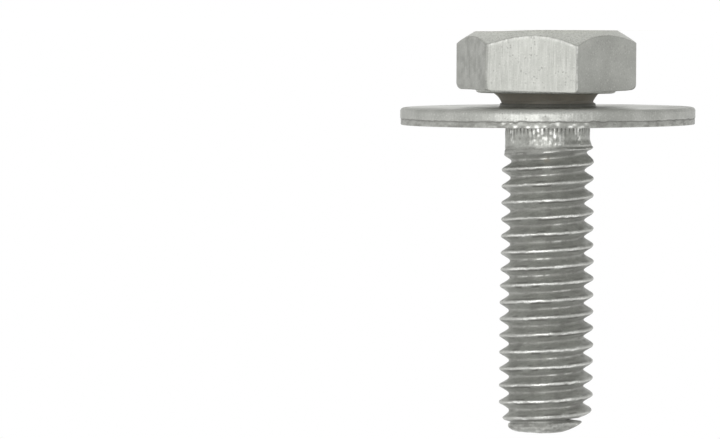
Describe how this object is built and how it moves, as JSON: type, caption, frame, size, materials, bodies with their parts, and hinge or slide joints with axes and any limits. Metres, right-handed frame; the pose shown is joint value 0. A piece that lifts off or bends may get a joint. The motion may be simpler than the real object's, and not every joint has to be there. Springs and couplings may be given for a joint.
{
  "type": "hex head screw with captive washer",
  "caption": "Hexagon head screw with a metric thread, a knurled neck and a large plain washer held on its shank, standing on its head.",
  "frame": {"origin": "centre of the flat top of the head, which the screw stands on", "axes": "+Z along the screw's axis from the head to the tip; the hexagon's flats face +Y and -Y"},
  "size_m": [0.0178, 0.0178, 0.0242],
  "materials": {
    "screw_steel": "cold-headed steel with a matte zinc flake coating",
    "washer_steel": "punched steel with a matte zinc flake coating"
  },
  "bodies": {
    "screw": {"screw": "screw_steel"},
    "washer": {"washer": "washer_steel"}
  },
  "joints": [
    {"name": "washer_spin", "type": "hinge", "parent": "screw", "child": "washer", "pos_m": [0, 0, 0.005], "axis": [0, 0, 1], "continuous": true}
  ]
}
